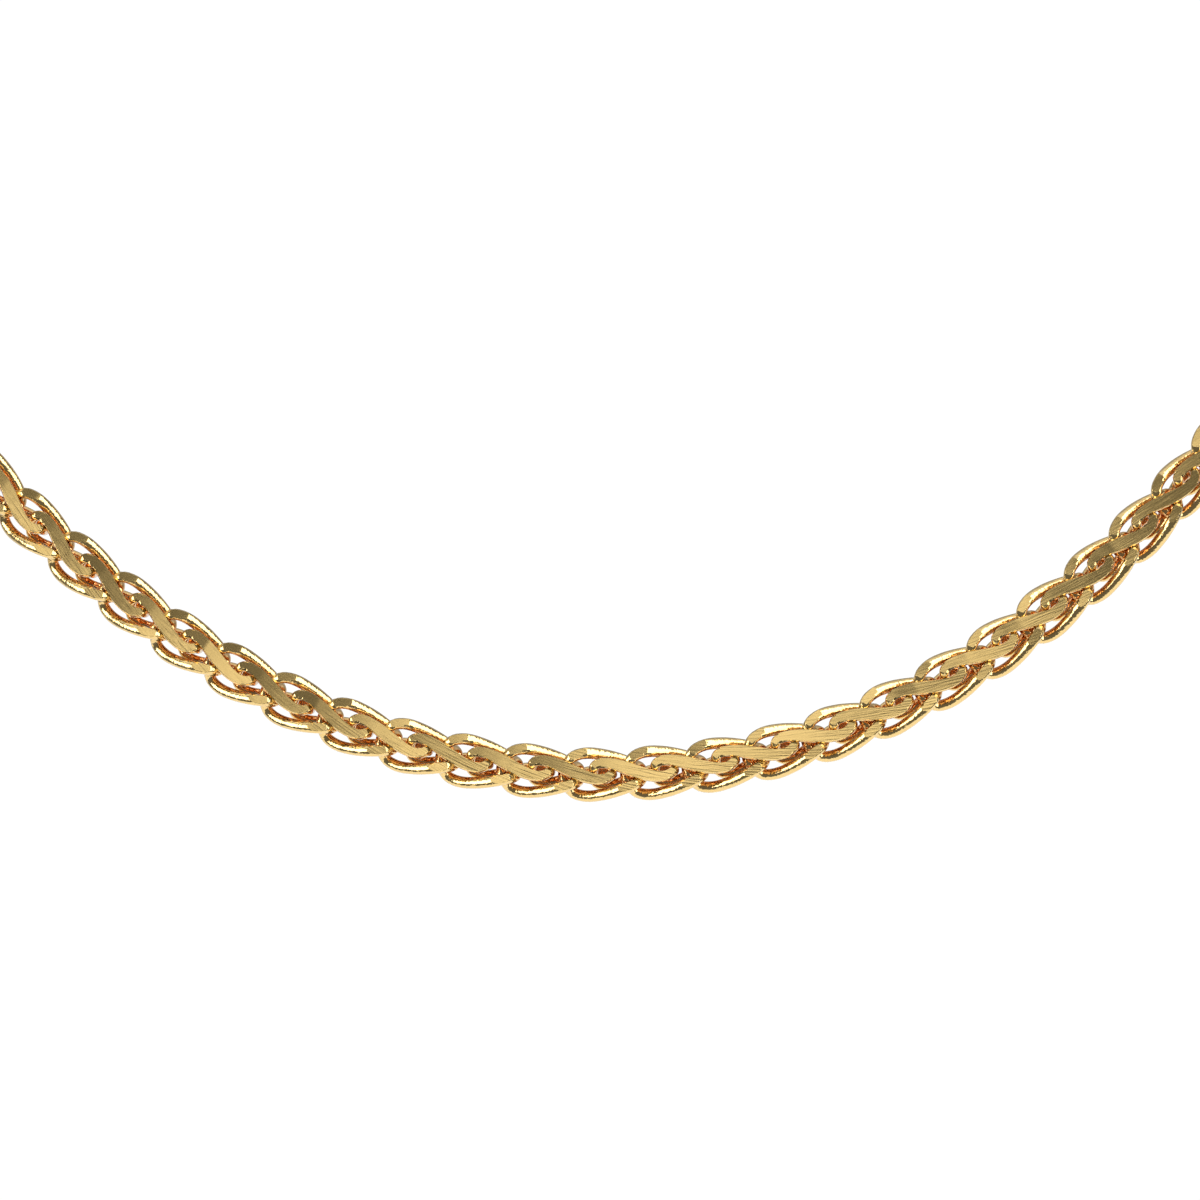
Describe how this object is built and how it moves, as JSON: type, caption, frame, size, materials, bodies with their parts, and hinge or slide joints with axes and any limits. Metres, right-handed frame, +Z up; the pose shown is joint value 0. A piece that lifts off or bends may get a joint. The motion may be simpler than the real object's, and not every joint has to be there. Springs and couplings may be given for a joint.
{
  "type": "mesh chain necklace",
  "caption": "Gold-plated neck chain of flattened wheat links: flat twisted links alternate with side ovals, closed at the nape by end rings and a plain clasp.",
  "frame": {"origin": "on the nape, at the inner side of the chain's own line, where the closed necklace sits on the back of the neck", "axes": "+X runs to the wearer's left across the front, which is the viewer's right, +Y runs from the front to the nape, +Z is up; the front of the chain faces -Y"},
  "size_m": [0.1479, 0.0931, 0.0867],
  "materials": {
    "chain": "gold plated, flats lightly brushed, round wire polished",
    "fittings": "gold plated, polished"
  },
  "bodies": {
    "root": {"chain_left": "chain", "chain_right": "chain", "end_ring_left": "fittings", "end_ring_right": "fittings", "clasp": "fittings"}
  },
  "joints": []
}
